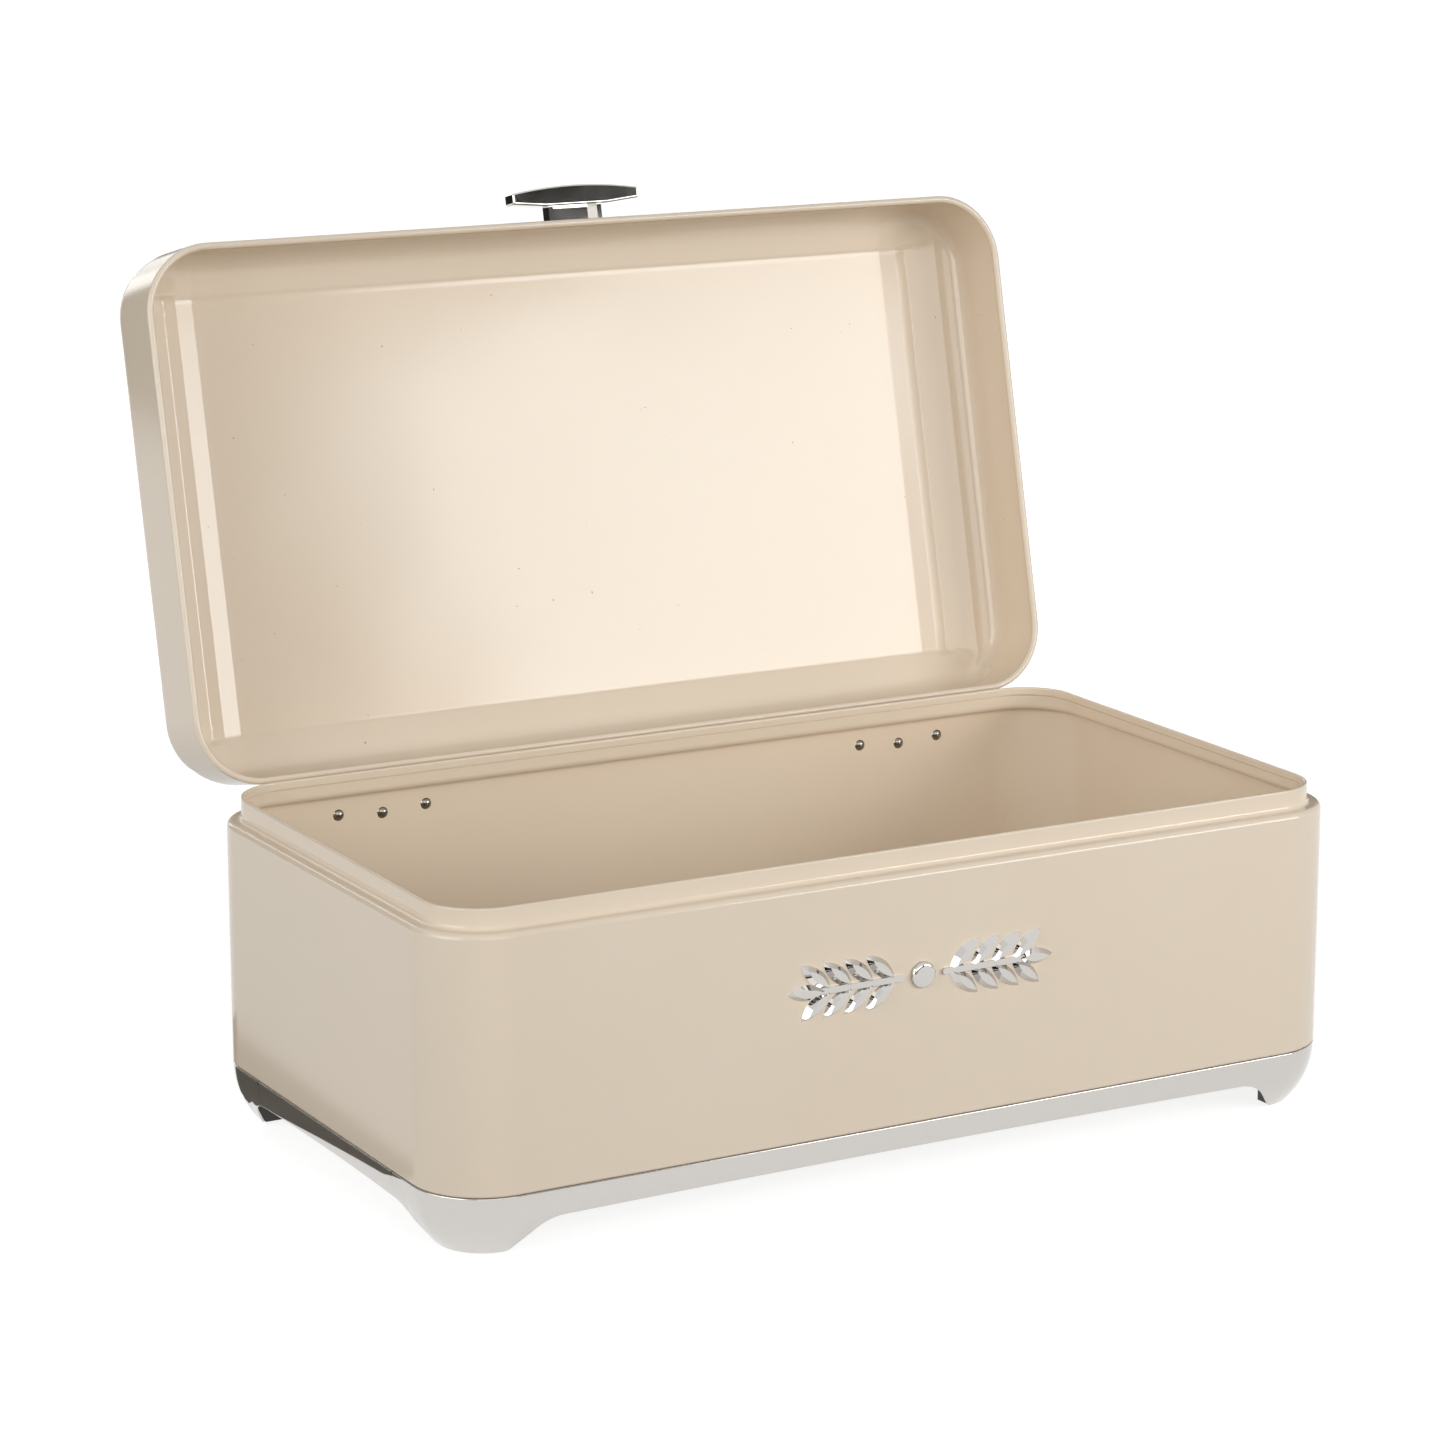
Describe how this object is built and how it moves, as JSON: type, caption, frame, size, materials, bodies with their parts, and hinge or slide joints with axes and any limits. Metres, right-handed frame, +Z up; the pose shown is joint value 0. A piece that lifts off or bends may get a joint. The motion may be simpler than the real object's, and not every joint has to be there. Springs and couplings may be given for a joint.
{
  "type": "bread box",
  "caption": "Enamelled sheet-steel bread box with rounded corners, a hinged lid standing open, a plated handle, and a plated plinth with four feet and low arches.",
  "frame": {"origin": "on the surface the box stands on, under the middle of the body", "axes": "+X along the box to its right end seen from the front, -Y out of the front, +Z up"},
  "size_m": [0.42, 0.322, 0.3728],
  "materials": {
    "cream_enamel": "glossy baked enamel",
    "chrome_plate": "bright chrome plate",
    "hinge_steel": "zinc-plated steel, satin",
    "rivet_steel": "set steel rivets and pins, semi-bright",
    "glide_plastic": "moulded polyethylene, matte"
  },
  "bodies": {
    "base": {"body_wall": "cream_enamel", "body_floor": "cream_enamel", "plinth": "chrome_plate", "plinth_rivets": "rivet_steel", "foot_glide_front_left": "glide_plastic", "foot_glide_front_right": "glide_plastic", "foot_glide_back_left": "glide_plastic", "foot_glide_back_right": "glide_plastic", "hinge_left_body_leaf": "hinge_steel", "hinge_left_pin": "rivet_steel", "hinge_left_rivets": "rivet_steel", "hinge_right_body_leaf": "hinge_steel", "hinge_right_pin": "rivet_steel", "hinge_right_rivets": "rivet_steel", "ornament_left_ear": "chrome_plate", "ornament_right_ear": "chrome_plate", "ornament_stud": "chrome_plate"},
    "lid": {"lid_shell": "cream_enamel", "handle_bar": "chrome_plate", "handle_stem": "chrome_plate", "hinge_left_lid_leaf": "hinge_steel", "hinge_right_lid_leaf": "hinge_steel"}
  },
  "joints": [
    {"name": "lid_hinge", "type": "hinge", "parent": "base", "child": "lid", "pos_m": [0, 0.1172, 0.1335], "axis": [1, 0, 0], "range_deg": [0, 102.9]}
  ]
}
